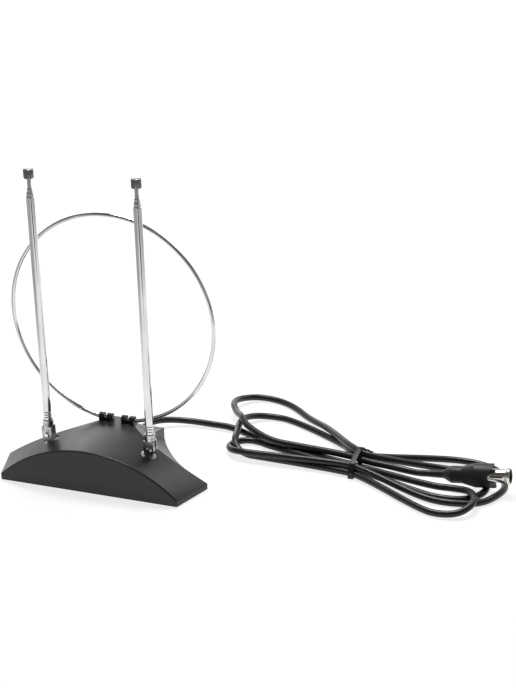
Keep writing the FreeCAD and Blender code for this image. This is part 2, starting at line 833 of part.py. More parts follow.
# Outline in plan of the tied hank: a wide left end, a narrow waist and a right end with room for the plug.
TIE_START, TIE_END = 138.0, 144.0
NOTCH_X, NOTCH_FRONT, NOTCH_BACK = 184.0, 31.0, 45.0
HANK_OUTLINE = [
    (48.0, 65.0),
    (52.0, 56.0),
    (57.0, 40.0),
    (66.0, 32.5),
    (104.0, 31.5),
    (TIE_START, 28.8),
    (TIE_END, 28.2),
    (176.0, 12.0),
    (198.0, -1.5),
    (206.0, -2.6),
    (214.0, -0.5),
    (220.5, 8.0),
    (228.0, 22.0),
    (232.0, NOTCH_FRONT),
    (NOTCH_X, NOTCH_FRONT),
    (NOTCH_X, NOTCH_BACK),
    (232.5, NOTCH_BACK),
    (228.0, 56.0),
    (216.0, 66.0),
    (206.0, 69.0),
    (170.0, 62.0),
    (TIE_END, 52.0),
    (TIE_START, 52.5),
    (112.0, 81.0),
    (80.0, 106.0),
    (58.0, 118.5),
    (46.0, 116.5),
    (39.0, 107.0),
    (39.0, 94.0),
    (44.0, 80.0),
    (48.0, 71.5),
]


def make_hank():
    """Outer shape of the folded cable with the end that enters the plug, and the tie round its waist."""
    low = SIZES["hank_bottom"]
    spots = [Vector(x, y, low) for x, y in HANK_OUTLINE]
    face = Part.Face(Part.makePolygon(spots + spots[:1]))
    turns = doc.addObject("Part::Feature", "hank_turns")
    turns.Shape = face.extrude(Vector(0, 0, SIZES["hank_thick"]))
    end = [(ZERO, -at.plug_lead), (at.cable_radius, -at.plug_lead), (at.cable_radius, ZERO), (ZERO, ZERO)]
    keep("cable_hank", fuse("cable_hank", [turns, place_plug(turned("cable_end", end))]))
    waist = [y for x, y in HANK_OUTLINE if x in (TIE_START, TIE_END)]
    width, thick = as_size(max(waist) - min(waist)), at.tie_thick
    middle = as_size((max(waist) + min(waist)) / 2)
    centre = as_size((TIE_START + TIE_END) / 2)
    low = at.hank_bottom - thick
    height = at.hank_thick + thick * 2
    outer = box("tie_outer", at.tie_width, width + thick * 2, height, centre, middle, low)
    keep("hank_tie", cut("hank_tie", outer, pieces["cable_hank"]))


def place_plug(body):
    """Lay a piece turned about Z along the plug's axis, which rises a little over the cable."""
    lean = Rotation(Vector(0, 1, 0), 90 - SIZES["plug_rise"])
    body.Placement = Placement(Vector(), Rotation(Vector(0, 0, 1), SIZES["plug_turn"]) * lean)
    for name, size in zip("xyz", (at.plug_x, at.plug_y, at.plug_z)):
        body.setExpression(f"Placement.Base.{name}", size.text)
    return body


def make_plug_body(tip_end, seat):
    """Moulded grip with flattened sides, flared to a hollowed front round the sleeve."""
    neck_end = at.plug_neck_length
    shoulder_end = neck_end + at.plug_shoulder_length
    grip_end = shoulder_end + at.plug_grip_length
    flare_end = grip_end + at.plug_flare_length
    socket = at.sleeve_radius + at.screw_fit
    flange = at.plug_flange_radius
    body = turned(
        "plug_body",
        [
            (ZERO, ZERO),
            (at.plug_neck_radius, ZERO),
            (at.plug_neck_end_radius, neck_end),
            (at.plug_grip_radius, shoulder_end),
            (at.plug_grip_radius, grip_end),
            (flange, flare_end),
            (flange, tip_end),
            (socket, tip_end),
            (socket, seat),
            (ZERO, seat),
        ],
    )
    past = tip_end + MARGIN
    for side in SIDES.values():
        flat, outside = at.plug_thick * side / 2, (flange + MARGIN) * side
        flank = [(flat, neck_end), (outside, neck_end), (outside, past), (flat, past)]
        pocket(body, draw(new_sketch(body, "YZ_Plane"), flank))
    depth = at.plug_notch_depth
    hollow = [(-flange, tip_end), (flange, tip_end), (flange, past), (-flange, past)]
    bends = {0: ((flange * flange + depth * depth) / (depth * 2), False)}
    pocket(body, draw(new_sketch(body, "XZ_Plane"), hollow, bends))
    keep("plug_body", place_plug(body))


def make_plug():
    """Moulded coaxial plug: gripped body, flared sleeve, insulator and centre pin."""
    grip_end = at.plug_neck_length + at.plug_shoulder_length + at.plug_grip_length
    tip_end = grip_end + at.plug_flare_length + at.plug_flange_length
    face = tip_end - at.plug_notch_depth
    seat = face - at.sleeve_seat
    make_plug_body(tip_end, seat)
    rim_end = face + at.sleeve_length
    rim = rim_end - at.sleeve_rim_length
    bore = at.sleeve_radius - at.sleeve_wall
    rim_bore = at.sleeve_rim_radius - at.sleeve_wall
    flare = rim - (at.sleeve_rim_radius - at.sleeve_radius)
    sleeve = [
        (bore, seat),
        (at.sleeve_radius, seat),
        (at.sleeve_radius, flare),
        (at.sleeve_rim_radius, rim),
        (at.sleeve_rim_radius, rim_end),
        (rim_bore, rim_end),
        (rim_bore, rim),
        (bore, flare),
    ]
    body = turned("plug_sleeve", sleeve)
    half = at.sleeve_slot_width / 2
    start, end = face + at.sleeve_slot_margin, flare - at.sleeve_slot_margin
    slot = [(-half, start), (half, start), (half, end), (-half, end)]
    pocket(body, draw(new_sketch(body, "XZ_Plane"), slot))
    keep("plug_sleeve", place_plug(body))
    block_end = seat + at.insulator_length
    hole = at.pin_radius + at.screw_fit
    fit = bore - at.screw_fit
    block = [(hole, seat), (fit, seat), (fit, block_end), (hole, block_end)]
    keep("plug_insulator", place_plug(turned("plug_insulator", block)))
    pin_end = seat + at.insulator_length + at.pin_length - at.sleeve_rim_length
    pin = [
        (ZERO, seat),
        (at.pin_radius, seat),
        (at.pin_radius, pin_end - at.pin_nose),
        (at.pin_radius - at.pin_nose, pin_end),
        (ZERO, pin_end),
    ]
    keep("plug_pin", place_plug(turned("plug_pin", pin)))


make_housing()
make_cover()
make_cover_screws()
make_pads()
make_weight()
make_board()
for side_name, side_sign in SIDES.items():
    make_swivel(side_name, side_sign)
    make_clevis(side_name, side_sign)
    make_rod(side_name, side_sign)
make_loop()
make_relief()
make_lead()
make_hank()
make_plug()
doc.recompute()

for item in doc.Objects:
    if "Invalid" in item.State or "Error" in item.State:
        raise RuntimeError(f"{item.Name} failed: {item.State}")
os.makedirs("parts", exist_ok=True)
for label, piece in pieces.items():
    if piece.Shape.isNull() or not piece.Shape.isValid():
        raise RuntimeError(f"{label} has no sound shape")
    print(label, "solids", len(piece.Shape.Solids), "volume", round(piece.Shape.Volume, 1))
    piece.Shape.exportStep(f"parts/{label}.step")
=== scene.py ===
# %% [markdown]
# An indoor aerial: two telescopic chrome rods and a wire loop stand on a small black moulded base,
# and a thin black cable runs from its tail into a tied hank that ends in a coaxial plug.
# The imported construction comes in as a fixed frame, in metres, and everything here is dressed on it.

# %% Load the frame
import json
import math

import bmesh
import bpy
from mathutils import Matrix, Vector


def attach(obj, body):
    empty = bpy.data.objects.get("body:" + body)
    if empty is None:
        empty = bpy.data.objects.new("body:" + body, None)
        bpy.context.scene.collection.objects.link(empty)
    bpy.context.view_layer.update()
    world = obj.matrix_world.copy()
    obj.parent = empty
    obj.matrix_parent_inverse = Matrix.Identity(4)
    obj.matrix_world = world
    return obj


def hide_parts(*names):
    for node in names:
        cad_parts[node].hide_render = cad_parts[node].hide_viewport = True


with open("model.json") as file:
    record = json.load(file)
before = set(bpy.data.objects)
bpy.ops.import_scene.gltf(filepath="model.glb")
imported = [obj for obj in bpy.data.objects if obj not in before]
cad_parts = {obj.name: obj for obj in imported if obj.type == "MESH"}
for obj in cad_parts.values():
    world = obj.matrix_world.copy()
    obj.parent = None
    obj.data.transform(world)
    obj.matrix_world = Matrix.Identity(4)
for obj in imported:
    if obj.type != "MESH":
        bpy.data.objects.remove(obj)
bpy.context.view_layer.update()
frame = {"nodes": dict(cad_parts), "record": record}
nodes = frame["nodes"]
scene = bpy.context.scene
scene.view_settings.view_transform = "Standard"
MM = 0.001

# %% [markdown]
# The camera comes first. It looks at the aerial from the front, a little from the right and from above,
# through a long lens, so the upright rods stay nearly parallel. A viewing direction, a small roll and
# a distance say this more plainly than a list of matrix numbers, so the camera is built from them.

# %% Camera
IMAGE_HEIGHT = 688
FOCAL_PIXELS = 1700
SENSOR = 36.0
EYE = Vector((420.8, -828.6, 463.6)) * MM
AZIMUTH = math.radians(21.43)
DROP = math.radians(22.63)
ROLL = math.radians(-1.53)
right = Vector((math.cos(AZIMUTH), math.sin(AZIMUTH), 0))
ahead = Vector((-math.sin(AZIMUTH) * math.cos(DROP), math.cos(AZIMUTH) * math.cos(DROP), -math.sin(DROP)))
level_up = right.cross(ahead)
tilted_right = right * math.cos(ROLL) + level_up * math.sin(ROLL)
tilted_up = level_up * math.cos(ROLL) - right * math.sin(ROLL)

camera_data = bpy.data.cameras.new("camera")
camera_data.sensor_width = SENSOR
camera_data.lens = FOCAL_PIXELS / IMAGE_HEIGHT * SENSOR
camera = bpy.data.objects.new("camera", camera_data)
turn = Matrix((tilted_right, tilted_up, -ahead)).transposed()
camera.matrix_world = Matrix.Translation(EYE) @ turn.to_4x4()
scene.collection.objects.link(camera)
scene.camera = camera
print("camera lens:", round(camera_data.lens, 1), "mm")

# %% [markdown]
# The cable leaves the tail level, falls to the table and runs into a hank of three turns held by a tie.
# It could be a mesh tube, but one NURBS curve with a round bevel stays smooth and keeps its real length.
# The free stretch has its points listed one by one. Each turn of the hank is a bight to one side of the tie,
# and a bight is described by the round corners it goes through: centre, radius, angles and heights.

# %% Cable route, free stretch
CABLE_RADIUS = 2.05
FLOOR = CABLE_RADIUS
LEAD_ROUTE = [
    (0.0, 45.5, 6.1),
    (0.0, 50.4, 6.1),
    (3.1, 57.6, 5.4),
    (8.8, 62.8, 4.5),
    (16.8, 66.5, 3.6),
    (26.8, 68.5, 2.9),
    (37.8, 68.2, 2.8),
    (48.0, 68.2, 2.8),
]
HANK_ENTRY = [(58.0, 65.3, FLOOR), (67.0, 61.0, FLOOR), (90.0, 52.0, FLOOR)]
PLUG_ENTRY = [(162.0, 40.3, 6.0), (176.0, 38.0, 5.8), (182.0, 37.3, 6.1), (187.8, 37.3, 6.8)]
print("points chosen by hand:", len(LEAD_ROUTE) + len(HANK_ENTRY) + len(PLUG_ENTRY))

# %% Cable route, hank
ARC_STEP = 45
LONG_RUN = 32
SPARE_RUN = 1.25
TIE_X = 141.0
TIE_GRIP = 7.0
LOW, MIDDLE, HIGH = 2.6, 6.2, 9.6
# Where each strand passes the tie: its place across the bundle left and right of the tie, and its height.
TIE_SLOTS = [
    (43.0, 39.5, LOW),
    (32.5, 29.0, LOW),
    (50.0, 48.5, MIDDLE),
    (35.0, 31.5, MIDDLE),
    (38.0, 35.0, LOW),
    (51.5, 42.5, HIGH),
    (46.5, 41.5, MIDDLE),
]
# The bights between those passes, right and left in turn, each a list of round corners.
BIGHTS = [
    [((206.5, 12.6), 13.2, 97, -105, (4.9, 6.5, 6.1, 3.3, FLOOR))],
    [
        ((72.0, 47.5), 11.0, 270, 192, (FLOOR, 6.6)),
        ((69.0, 77.0), 14.0, 192, 92, (6.5, 3.7, FLOOR)),
        ((70.0, 17.5), 70.3, 80, 42, (FLOOR,)),
    ],
    [((207.3, 45.5), 21.7, 95, 0, (FLOOR,)), ((208.5, 35.5), 20.6, 0, -97, (FLOOR,))],
    [((69.5, 44.0), 11.0, 270, 65, (5.6, 2.6, FLOOR))],
    [((203.5, 36.3), 17.6, -103, 93, (FLOOR,))],
    [
        ((36.5, 13.5), 98.5, 42, 56, (5.4, FLOOR)),
        ((56.0, 101.0), 16.0, 62, 212, (FLOOR, 2.8, 7.9)),
        ((70.6, 73.5), 14.0, 212, 240, (10.2, 8.6)),
        ((88.6, 74.7), 24.0, 240, 265, (7.0, 6.3)),
    ],
]


def height_at(heights, share):
    """Height along a corner, read between the heights listed for it."""
    spot = share * (len(heights) - 1)
    below = min(int(spot), len(heights) - 1)
    above = min(below + 1, len(heights) - 1)
    return heights[below] + (heights[above] - heights[below]) * (spot - below)


def corner_points(centre, radius, start, end, heights):
    """Control points round one corner, set out a little so that the spline keeps the radius."""
    sweep = math.radians(end - start)
    steps = max(1, round(abs(end - start) / ARC_STEP), round(abs(sweep) * radius / LONG_RUN))
    reach = radius * 4 / (3 + math.cos(sweep / steps))
    points = []
    for step in range(steps + 1):
        angle = math.radians(start) + sweep * step / steps
        x, y = centre[0] + reach * math.cos(angle), centre[1] + reach * math.sin(angle)
        points.append(Vector((x, y, height_at(heights, step / steps))))
    return points


def run_point(centre, end, before):
    """A point on the straight run past a corner's end, as far from it as the corner's last step."""
    outward = Vector((end.x - centre[0], end.y - centre[1], 0))
    run = Vector((-outward.y, outward.x, 0)).normalized() * (end - before).xy.length
    return end + run if run.dot(end - before) > 0 else end - run


def bight_points(corners):
    """One bight: its corners, with a point on every straight run that is long enough for one."""
    arcs = [corner_points(*corner) for corner in corners]
    steps = [(arc[1] - arc[0]).xy.length if corner[1] < LONG_RUN else 0 for arc, corner in zip(arcs, corners)]
    joins = [False]
    for number in range(1, len(arcs)):
        run = (arcs[number][0] - arcs[number - 1][-1]).xy.length
        joins.append(run < SPARE_RUN * (steps[number] + steps[number - 1]))
    joins.append(False)
    points = []
    for number, (arc, corner) in enumerate(zip(arcs, corners)):
        if steps[number] and not joins[number]:
            points.append(run_point(corner[0], arc[0], arc[1]))
        points += arc
        if steps[number] and not joins[number + 1]:
            points.append(run_point(corner[0], arc[-1], arc[-2]))
    return points


hank = []
for number, (left_y, right_y, slot_z) in enumerate(TIE_SLOTS):
    gripped = [(TIE_X - TIE_GRIP, left_y, slot_z), (TIE_X + TIE_GRIP, right_y, slot_z)]
    hank += gripped if number % 2 == 0 else gripped[::-1]
    hank += bight_points(BIGHTS[number]) if number < len(BIGHTS) else []
route = LEAD_ROUTE + HANK_ENTRY + hank + PLUG_ENTRY
print("cable points:", len(route))

# %% Cable
ROUND_STEPS, ROUTE_STEPS = 6, 10
cable_curve = bpy.data.curves.new("cable", "CURVE")
cable_curve.dimensions = "3D"
cable_curve.bevel_depth = 1.0
cable_curve.bevel_resolution = ROUND_STEPS
cable_curve.resolution_u = ROUTE_STEPS
cable_curve.use_fill_caps = True
spline = cable_curve.splines.new("NURBS")
spline.points.add(len(route) - 1)
# Blender's box round a curve counts each point's radius as a length, so the thickness is set there.
for point, spot in zip(spline.points, route):
    point.co = (*(Vector(spot) * MM), 1)
    point.radius = CABLE_RADIUS * MM
spline.order_u = 3
spline.use_endpoint_u = True
cable = bpy.data.objects.new("cable", cable_curve)
scene.collection.objects.link(cable)
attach(cable, "base")
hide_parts("cable_lead", "cable_hank")
print("cable along its curve:", round(spline.calc_length(), 3), "m")

# %% [markdown]
# A twist tie holds the hank: a flat plastic-coated strip bent round the seven strands, with its two ends
# twisted together and laid down along the bundle. A cube is cut to the strip's outline with planes that
# touch the outer strands, its corners are rounded, and the open band is given a thickness. That follows
# the strands more closely than a scaled ring would.

# %% Twist tie, band
TIE_WIDTH = 3.2
TIE_THICK = 0.45
TIE_LOW, TIE_HIGH = Vector((TIE_X, 28.2, 0.25)), Vector((TIE_X, 51.7, 11.8))
# Planes that cut the corners off, as a point on the plane and the way out of the bundle (across, up).
TIE_CUTS = [
    ((46.5, 11.8), (-0.21, 0.98)),
    ((31.1, 7.8), (-0.79, 0.62)),
    ((42.0, 0.25), (0.37, -0.93)),
    ((51.3, 7.8), (0.8, 0.6)),
]
TIE_ROUND, TIE_ROUND_STEPS = 1.3, 4
MOSTLY = 0.9


def select_only(piece):
    bpy.ops.object.select_all(action="DESELECT")
    piece.select_set(True)
    bpy.context.view_layer.objects.active = piece


def add_block(name, low, high):
    """A cube between two corners, given in millimetres, with its size and place in the mesh."""
    bpy.ops.object.select_all(action="DESELECT")
    bpy.ops.mesh.primitive_cube_add(size=1, location=(low + high) / 2 * MM)
    block = bpy.context.object
    block.name = name
    block.scale = (high - low) * MM
    bpy.ops.object.transform_apply(location=True, rotation=True, scale=True)
    return block


def pick(piece, kind, test):
    """Select the edges or faces of a piece in edit mode that pass a test."""
    bpy.ops.mesh.select_all(action="DESELECT")
    bpy.ops.mesh.select_mode(type="EDGE" if kind == "edges" else "FACE")
    mesh = bmesh.from_edit_mesh(piece.data)
    for item in getattr(mesh, kind):
        item.select_set(test(item))
    bmesh.update_edit_mesh(piece.data)


def apply_modifier(piece, kind, **settings):
    modifier = piece.modifiers.new(kind.lower(), kind)
    for key, value in settings.items():
        setattr(modifier, key, value)
    select_only(piece)
    bpy.ops.object.modifier_apply(modifier=modifier.name)


def runs_across(edge):
    return abs((edge.verts[0].co - edge.verts[1].co).normalized().x) > MOSTLY


half_width = Vector((TIE_WIDTH / 2, 0, 0))
tie = add_block("twist_tie", TIE_LOW - half_width, TIE_HIGH + half_width)
bpy.ops.object.mode_set(mode="EDIT")
for (across, up), (out_y, out_z) in TIE_CUTS:
    bpy.ops.mesh.select_all(action="SELECT")
    plane = Vector((TIE_X, across, up)) * MM
    bpy.ops.mesh.bisect(plane_co=plane, plane_no=(0, out_y, out_z), use_fill=True, clear_outer=True)
pick(tie, "edges", runs_across)
bpy.ops.mesh.bevel(offset=TIE_ROUND * MM, segments=TIE_ROUND_STEPS, affect="EDGES", clamp_overlap=True)
pick(tie, "faces", lambda face: abs(face.normal.x) > MOSTLY)
bpy.ops.mesh.delete(type="FACE")
bpy.ops.object.mode_set(mode="OBJECT")
apply_modifier(tie, "SOLIDIFY", thickness=TIE_THICK * MM, offset=1)
print("tie faces:", len(tie.data.polygons))

# %% Twist tie, ends
END_LENGTH = 8.0
END_START = Vector((TIE_X + 0.6, 46.0, 11.3))
END_HALF = Vector((END_LENGTH / 2, 1.1, 0.7))
END_TWIST = math.radians(430)
END_TURN = math.radians(-10)
END_DROP = math.radians(10)
END_CUTS = 17
END_ROUND, TIE_EDGE = 0.2, 0.1
EDGE_STEPS = 2
SMOOTH_TO = math.radians(40)
ends = add_block("tie_ends", -END_HALF, END_HALF)
bpy.ops.object.mode_set(mode="EDIT")
pick(ends, "edges", runs_across)
bpy.ops.mesh.subdivide(number_cuts=END_CUTS)
bpy.ops.object.mode_set(mode="OBJECT")
apply_modifier(ends, "SIMPLE_DEFORM", deform_method="TWIST", deform_axis="X", angle=END_TWIST)
apply_modifier(ends, "BEVEL", width=END_ROUND * MM, segments=EDGE_STEPS, limit_method="ANGLE")
ends.rotation_euler = (0, END_DROP, END_TURN)
ends.location = END_START * MM + Vector((END_LENGTH / 2 * MM, 0, 0))
select_only(ends)
bpy.ops.object.transform_apply(location=True, rotation=True, scale=True)
tie.select_set(True)
bpy.context.view_layer.objects.active = tie
bpy.ops.object.join()
apply_modifier(tie, "BEVEL", width=TIE_EDGE * MM, segments=EDGE_STEPS, limit_method="ANGLE")
bpy.ops.object.shade_smooth_by_angle(angle=SMOOTH_TO)
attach(tie, "base")
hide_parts("hank_tie")
print("tie faces with its ends:", len(tie.data.polygons))

# %% [markdown]
# The cable leaves through a ribbed rubber relief, which stops it from kinking at the wall. On the real
# object it is moulded over the cable. Here a disc is extruded ring by ring along the cable, each ring
# scaled to the next radius, which is how a turned or moulded round piece is drawn by hand.

# %% Strain relief
RELIEF_Z = 6.1
WALL_Y = 37.5
RIB_COUNT = 4
RIB_PITCH = 1.7
RIB_WIDTH = 1.0
RIB_DEPTH = 0.55
RIB_RADIUS, RIB_TAPER = 3.2, 0.22
RIB_SLOPE, GROOVE_SLOPE = 0.05, 0.1
FIRST_RIB, RELIEF_END = 0.1, 8.0
COLLAR_BACK, COLLAR_FRONT = -3.5, -2.1
COLLAR_RADIUS, NECK_RADIUS = 3.1, 2.45
RELIEF_EDGE = 0.15
RELIEF_SIDES = 40
# The rings run out from inside the wall: (distance, radius).
relief_rings = [
    (COLLAR_BACK, COLLAR_RADIUS),
    (COLLAR_FRONT, COLLAR_RADIUS),
    (COLLAR_FRONT, NECK_RADIUS),
    (FIRST_RIB, NECK_RADIUS),
    (FIRST_RIB, RIB_RADIUS),
]
for rib in range(RIB_COUNT):
    start, rib_radius = FIRST_RIB + rib * RIB_PITCH, RIB_RADIUS - RIB_TAPER * rib
    groove = rib_radius - RIB_DEPTH
    relief_rings += [
        (start + RIB_WIDTH, rib_radius - RIB_SLOPE),
        (start + RIB_WIDTH, groove),
        (start + RIB_PITCH, groove - GROOVE_SLOPE),
        (start + RIB_PITCH, rib_radius - RIB_TAPER),
    ]
relief_rings += [(RELIEF_END, NECK_RADIUS), (RELIEF_END, CABLE_RADIUS)]


def add_turned(name, start, rings, sides):
    """A round piece along +Y, drawn by extruding a disc from ring to ring; rings are (distance, radius)."""
    bpy.ops.object.select_all(action="DESELECT")
    place = (start + Vector((0, rings[0][0], 0))) * MM
    turned_to_y = (math.pi / 2, 0, 0)
    bpy.ops.mesh.primitive_circle_add(
        vertices=sides, radius=rings[0][1] * MM, fill_type="NGON", location=place, rotation=turned_to_y)
    piece = bpy.context.object
    piece.name = name
    bpy.ops.object.transform_apply(location=True, rotation=True, scale=True)
    bpy.ops.object.mode_set(mode="EDIT")
    bpy.ops.mesh.select_all(action="SELECT")
    for (last_way, last_radius), (way, radius) in zip(rings, rings[1:]):
        bpy.ops.mesh.extrude_region_move(TRANSFORM_OT_translate={"value": (0, (way - last_way) * MM, 0)})
        bpy.ops.transform.resize(value=[radius / last_radius] * 3)
    bpy.ops.mesh.select_all(action="SELECT")
    bpy.ops.mesh.normals_make_consistent(inside=False)
    bpy.ops.object.mode_set(mode="OBJECT")
    return piece


relief = add_turned("ribbed_relief", Vector((0, WALL_Y, RELIEF_Z)), relief_rings, RELIEF_SIDES)
apply_modifier(relief, "BEVEL", width=RELIEF_EDGE * MM, segments=EDGE_STEPS, limit_method="ANGLE")
bpy.ops.object.shade_smooth_by_angle(angle=SMOOTH_TO)
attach(relief, "base")
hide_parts("strain_relief")
print("relief faces:", len(relief.data.polygons))

# %% [markdown]
# The plug ends in a bright sleeve of rolled sheet, with a seam along it and a rim turned outward. It is
# drawn in the same way as the relief, out along the outside and back into the mouth, then one strip of
# faces is pressed in for the seam. Later the seam gets a dark finish of its own, and the metal inside the
# mouth gets the same dark finish as painted shade.

# %% Plug sleeve
PLUG_START = Vector((187.8, 37.3, 6.8))
PLUG_TURN, PLUG_RISE = math.radians(0.9), math.radians(6.3)
SEAM_SIDE = math.radians(22)
SEAM_HALF = math.radians(5.6)
SEAM_FROM, SEAM_TO = 36.5, 43.4
SEAM_DEPTH = 0.45
# Faces nearer the axis than the second radius are painted dark: painted shade inside the mouth, and the
# pressed seam as a dark joint.
OUTSIDE_RADIUS, SHADE_AND_SEAM_RADIUS = 4.0, 4.02
SLEEVE_SIDES = 48
SLEEVE_SMOOTH = math.radians(35)
# Along the plug and out: up the tube, round the rolled rim and back into the mouth.
sleeve_rings = [
    (31.0, 4.1),
    (36.2, 4.1),
    (43.6, 4.1),
    (44.9, 4.15),
    (45.3, 4.6),
    (45.8, 4.85),
    (47.1, 4.85),
    (47.5, 4.7),
    (47.6, 4.45),
    (47.5, 4.25),
    (46.6, 3.75),
    (34.0, 3.7),
]
sleeve = add_turned("plug_sleeve_rolled", Vector((0, 0, 0)), sleeve_rings, SLEEVE_SIDES)


def on_seam(face):
    spot = face.calc_center_median() / MM
    side = math.atan2(spot.z, spot.x)
    outside = math.hypot(spot.x, spot.z) > OUTSIDE_RADIUS
    return SEAM_FROM < spot.y < SEAM_TO and outside and abs(side - SEAM_SIDE) < SEAM_HALF


# The mouth's inner metal is painted dark to stand for its shade; the pressed seam is dark as a joint.
def in_mouth_shade_and_seam(face):
    return math.hypot(face.center.x, face.center.z) < SHADE_AND_SEAM_RADIUS * MM


bpy.ops.object.mode_set(mode="EDIT")
pick(sleeve, "faces", on_seam)
bpy.ops.mesh.extrude_region_shrink_fatten(TRANSFORM_OT_shrink_fatten={"value": -SEAM_DEPTH * MM})
bpy.ops.object.mode_set(mode="OBJECT")
along_plug = Vector((math.cos(PLUG_TURN), math.sin(PLUG_TURN), math.tan(PLUG_RISE))).normalized()
# These faces are painted shade in the mouth, plus the dark seam.
mouth_shade_and_seam_faces = [face.index for face in sleeve.data.polygons if in_mouth_shade_and_seam(face)]
sleeve.rotation_euler = Vector((0, 1, 0)).rotation_difference(along_plug).to_euler()
sleeve.location = PLUG_START * MM
select_only(sleeve)
bpy.ops.object.transform_apply(location=True, rotation=True, scale=True)
bpy.ops.object.shade_smooth_by_angle(angle=SLEEVE_SMOOTH)
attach(sleeve, "base")
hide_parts("plug_sleeve")
print("sleeve faces:", len(sleeve.data.polygons), "dark:", len(mouth_shade_and_seam_faces))

# %% [markdown]
# Each rod ends in a fluted cap, pressed over the thinnest section so that the rod can be pulled out by it.
# The flutes could be a bump in the finish, but they show in the outline, so they are modelled: every third
# face round a cylinder is pushed in. One cap is made and the other is a copy of it.

# %% Tip caps
CAP_RADIUS = 3.0
CAP_HEIGHT = 5.7
CAP_SIDES = 48
SIDE_ANGLE = 360 / CAP_SIDES
CAP_ROUND, CAP_ROUND_STEPS = 0.6, 3
CAP_SMOOTH = math.radians(30)
LEVEL_WITHIN = 0.1
FLUTE_EVERY = 3
FLUTE_DEPTH = 0.28
cap_tops = {}
for side in ("left", "right"):
    node = nodes[f"tip_cap_{side}"]
    corners = [node.matrix_world @ Vector(corner) for corner in node.bound_box]
    low = Vector([min(corner[axis] for corner in corners) for axis in range(3)])
    high = Vector([max(corner[axis] for corner in corners) for axis in range(3)])
    cap_tops[side] = Vector(((low.x + high.x) / 2, (low.y + high.y) / 2, high.z))
bpy.ops.object.select_all(action="DESELECT")
middle = cap_tops["left"] - Vector((0, 0, CAP_HEIGHT / 2 * MM))
bpy.ops.mesh.primitive_cylinder_add(
    vertices=CAP_SIDES, radius=CAP_RADIUS * MM, depth=CAP_HEIGHT * MM, location=middle)
cap = bpy.context.object
cap.name = "fluted_cap_left"
bpy.ops.object.transform_apply(location=True, rotation=True, scale=True)


def on_flute(face):
    spot = face.calc_center_median() - middle
    step = round(math.degrees(math.atan2(spot.y, spot.x)) / SIDE_ANGLE - 0.5)
    return abs(face.normal.z) < 1 - MOSTLY and step % FLUTE_EVERY == 0


def lies_level(edge):
    return abs(edge.verts[0].co.z - edge.verts[1].co.z) < LEVEL_WITHIN * MM


bpy.ops.object.mode_set(mode="EDIT")
pick(cap, "edges", lies_level)
bpy.ops.mesh.bevel(offset=CAP_ROUND * MM, segments=CAP_ROUND_STEPS, affect="EDGES", clamp_overlap=True)
pick(cap, "faces", on_flute)
bpy.ops.mesh.extrude_region_shrink_fatten(TRANSFORM_OT_shrink_fatten={"value": -FLUTE_DEPTH * MM})
bpy.ops.object.mode_set(mode="OBJECT")
select_only(cap)
bpy.ops.object.shade_smooth_by_angle(angle=CAP_SMOOTH)
other_cap = cap.copy()
other_cap.data = cap.data.copy()
other_cap.name = "fluted_cap_right"
other_cap.data.transform(Matrix.Translation(cap_tops["right"] - cap_tops["left"]))
scene.collection.objects.link(other_cap)
for piece, side in ((cap, "left"), (other_cap, "right")):
    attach(piece, f"rod_{side}_4")
    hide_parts(f"tip_cap_{side}")
print("cap faces:", len(cap.data.polygons))

# %% [markdown]

# %% [markdown]
# Finishes. Every material reads one of two shared effects. The skin of a moulded piece has a fine grain
# and slow patches where the gloss differs; plated metal has smudges and fine drawn lines. Each effect is
# a node group, so that a change to the grain shows on every piece that has it.

# %% Shared effects


def new_group(name, inputs, outputs):
    """A shader node group with named sockets; returns it with its ends and a coordinate node."""
    group = bpy.data.node_groups.new(name, "ShaderNodeTree")
    for socket, kind in inputs:
        group.interface.new_socket(socket, in_out="INPUT", socket_type=kind)
    for socket, kind in outputs:
        group.interface.new_socket(socket, in_out="OUTPUT", socket_type=kind)
    start = group.nodes.new("NodeGroupInput")
    end = group.nodes.new("NodeGroupOutput")
    place = group.nodes.new("ShaderNodeTexCoord")
    return group, start, end, place.outputs["Object"]


def add_noise(group, vector, scale, detail):
    noise = group.nodes.new("ShaderNodeTexNoise")
    noise.inputs["Detail"].default_value = detail
    group.links.new(vector, noise.inputs["Vector"])
    group.links.new(scale, noise.inputs["Scale"])
    return noise.outputs["Fac"]


def add_range(tree, value, limits, ends=(0.0, 1.0), interpolation="SMOOTHSTEP"):
    """Spread the stretch of a value between two limits from one end to the other."""
    node = tree.nodes.new("ShaderNodeMapRange")
    node.interpolation_type = interpolation
    for socket, number in zip(("From Min", "From Max", "To Min", "To Max"), (*limits, *ends)):
        node.inputs[socket].default_value = number
    tree.links.new(value, node.inputs["Value"])
    return node.outputs["Result"]


def add_mix(group, factor, low, high, kind):
    """Mix between two inputs, numbers or colours, by a factor."""
    node = group.nodes.new("ShaderNodeMix")
    node.data_type = kind
    slots = [item for item in node.inputs if item.type == ("RGBA" if kind == "RGBA" else "VALUE")]
    ends = [item for item in slots if item.name in "AB"]
    group.links.new(factor, node.inputs["Factor"])
    group.links.new(low, ends[0])
    group.links.new(high, ends[1])
    return next(item for item in node.outputs if item.type == ends[0].type)


FINISH_INPUTS = [
    ("Colour", "NodeSocketColor"),
    ("Other Colour", "NodeSocketColor"),
    ("Gloss", "NodeSocketFloat"),
    ("Dull", "NodeSocketFloat"),
    ("Patch Scale", "NodeSocketFloat"),
    ("Grain Scale", "NodeSocketFloat"),
]
FINISH_OUTPUTS = [
    ("Colour", "NodeSocketColor"),
    ("Roughness", "NodeSocketFloat"),
    ("Height", "NodeSocketFloat"),
]
PATCH_DETAIL, GRAIN_DETAIL = 3, 2
PATCH_RANGE = (0.35, 0.65)
EVEN_GRAIN, DRAWN_GRAIN = 1.0, 0.04


